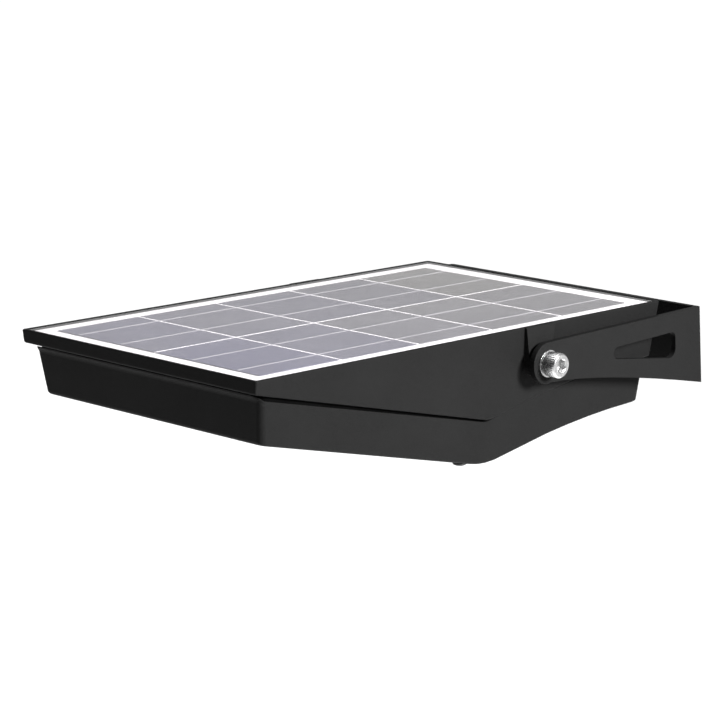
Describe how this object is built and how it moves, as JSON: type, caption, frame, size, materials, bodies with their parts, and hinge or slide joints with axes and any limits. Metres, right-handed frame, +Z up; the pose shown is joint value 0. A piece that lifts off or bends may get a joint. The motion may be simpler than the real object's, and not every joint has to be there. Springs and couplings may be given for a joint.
{
  "type": "solar flood light",
  "caption": "Black solar flood light: a panel-topped lamp head that tilts between the arms of a folded wall bracket, with an LED window under its front slope.",
  "frame": {"origin": "centre of the bracket's wall face", "axes": "+Y into the wall, +Z up, +X to the right when looking at the wall"},
  "size_m": [0.1988, 0.3253, 0.0868],
  "materials": {
    "black_paint": "fine textured matt black powder coat",
    "clear_glass": "clear, polished",
    "solar_cell": "dark blue silicon with fine silver lines",
    "white_sheet": "satin white film",
    "rubber": "matt black",
    "bright_steel": "bright zinc plated",
    "black_steel": "black oxide",
    "aluminium": "plain, satin",
    "black_nylon": "moulded, satin black",
    "white_plastic": "moulded, white",
    "battery_wrap": "blue shrink film",
    "circuit_board": "green solder mask",
    "cable_sheath": "satin black"
  },
  "bodies": {
    "bracket": {"u_bracket": "black_paint"},
    "head": {"upper_housing": "black_paint", "lower_housing": "black_paint", "housing_gasket": "rubber", "panel_cover": "clear_glass", "panel_backsheet": "white_sheet", "panel_seal": "rubber", "junction_box": "black_nylon", "pivot_bolt_right": "bright_steel", "pivot_bolt_left": "bright_steel", "flat_washer_right": "bright_steel", "flat_washer_left": "bright_steel", "friction_washer_right": "black_nylon", "friction_washer_left": "black_nylon", "pivot_nut_right": "bright_steel", "pivot_nut_left": "bright_steel", "lamp_window": "clear_glass", "window_gasket": "rubber", "reflector": "white_plastic", "led_board": "white_plastic", "heat_spreader": "aluminium", "battery_tray": "black_nylon", "battery_strap": "aluminium", "control_board": "circuit_board", "driver_coil": "black_nylon", "driver_capacitor": "black_nylon", "switch_body": "black_nylon", "status_light_pipe": "clear_glass", "panel_lead": "cable_sheath", "battery_lead": "cable_sheath", "lamp_lead": "cable_sheath", "solar_cell_01": "solar_cell", "solar_cell_02": "solar_cell", "solar_cell_03": "solar_cell", "solar_cell_04": "solar_cell", "solar_cell_05": "solar_cell", "solar_cell_06": "solar_cell", "solar_cell_07": "solar_cell", "solar_cell_08": "solar_cell", "solar_cell_09": "solar_cell", "solar_cell_10": "solar_cell", "housing_screw_1": "black_steel", "housing_screw_2": "black_steel", "housing_screw_3": "black_steel", "housing_screw_4": "black_steel", "housing_screw_5": "black_steel", "housing_screw_6": "black_steel", "battery_cell_1": "battery_wrap", "battery_cell_2": "battery_wrap", "battery_cell_3": "battery_wrap", "lamp_screw_1": "bright_steel", "lamp_screw_2": "bright_steel", "lamp_screw_3": "bright_steel", "lamp_screw_4": "bright_steel", "board_screw_1": "bright_steel", "board_screw_2": "bright_steel", "board_screw_3": "bright_steel", "board_screw_4": "bright_steel"},
    "button": {"power_button": "rubber", "switch_stem": "white_plastic"}
  },
  "joints": [
    {"name": "head_tilt", "type": "hinge", "parent": "bracket", "child": "head", "pos_m": [0, -0.1282, 0.0207], "axis": [1, 0, 0], "range_deg": [-115, 125]},
    {"name": "button_press", "type": "slide", "parent": "head", "child": "button", "axis": [0, -0.0127, 0.9999], "range_m": [0, 0.001], "stiffness_N_per_m": 1200, "springref_m": -0.001}
  ]
}
